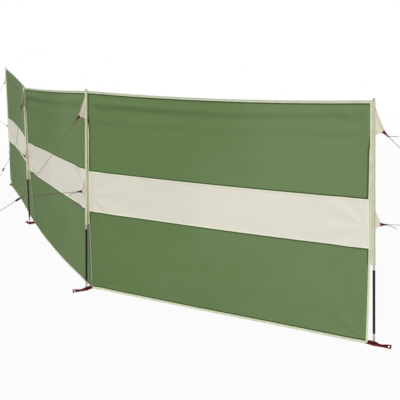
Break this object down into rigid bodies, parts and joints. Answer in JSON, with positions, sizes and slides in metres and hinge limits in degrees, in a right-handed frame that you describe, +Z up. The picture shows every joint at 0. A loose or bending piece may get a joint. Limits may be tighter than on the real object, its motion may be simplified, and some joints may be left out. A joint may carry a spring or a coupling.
{
  "type": "beach windbreak",
  "caption": "Long low windbreak of green cloth with a cream band, hung on slim steel poles in cloth pockets and held by bridled guy lines and red foot straps.",
  "frame": {"origin": "on the ground under the pin of pole 1, the free pole at the right end of the wall seen from its outside", "axes": "+Z up; bay 1 runs from the origin along -X; -Y is the outside of the bend, where the guy lines stand"},
  "size_m": [9.4954, 5.783, 1.4757],
  "materials": {
    "green_cloth": "woven polyester, dyed green, slightly coated",
    "cream_cloth": "woven polyester, cream",
    "binding_tape": "folded binding tape, cream with a green cast",
    "pocket_cloth": "doubled polyester, cream",
    "steel_tube": "drawn steel tube, satin",
    "black_tube": "black powder coat",
    "black_plastic": "black moulded plastic",
    "red_webbing": "dark red polyester webbing",
    "zinc_steel": "zinc-plated steel",
    "grey_cord": "braided grey cord"
  },
  "bodies": {
    "root": {"bay_1_band_cloth": "cream_cloth", "bay_1_lower_cloth": "green_cloth", "bay_1_upper_cloth": "green_cloth", "bay_2_band_cloth": "cream_cloth", "bay_2_lower_cloth": "green_cloth", "bay_2_upper_cloth": "green_cloth", "bay_3_band_cloth": "cream_cloth", "bay_3_lower_cloth": "green_cloth", "bay_3_upper_cloth": "green_cloth", "bottom_hems": "binding_tape", "cord_end_1_middle": "grey_cord", "cord_end_1_upper": "grey_cord", "cord_end_2_middle": "grey_cord", "foot_caps": "black_plastic", "guy_knots": "grey_cord", "guy_pegs": "zinc_steel", "guy_rings": "black_plastic", "guy_sliders": "black_plastic", "guy_tabs": "red_webbing", "left_edge_binding": "binding_tape", "lower_sleeves": "black_tube", "pole_1_foot_strap": "red_webbing", "pole_1_guy_flaps": "pocket_cloth", "pole_1_guy_line": "grey_cord", "pole_1_pocket": "pocket_cloth", "pole_1_tube": "steel_tube", "pole_2_foot_strap": "red_webbing", "pole_2_guy_flaps": "pocket_cloth", "pole_2_guy_line": "grey_cord", "pole_2_pocket": "pocket_cloth", "pole_2_tube": "steel_tube", "pole_3_foot_strap": "red_webbing", "pole_3_guy_flaps": "pocket_cloth", "pole_3_guy_line": "grey_cord", "pole_3_pocket": "pocket_cloth", "pole_3_tube": "steel_tube", "pole_4_foot_strap": "red_webbing", "pole_4_guy_flaps": "pocket_cloth", "pole_4_guy_line": "grey_cord", "pole_4_pocket": "pocket_cloth", "pole_4_tube": "steel_tube", "pole_top_plugs": "black_plastic", "right_edge_binding": "binding_tape", "strap_eyelets": "zinc_steel", "top_hems": "binding_tape"}
  },
  "joints": []
}
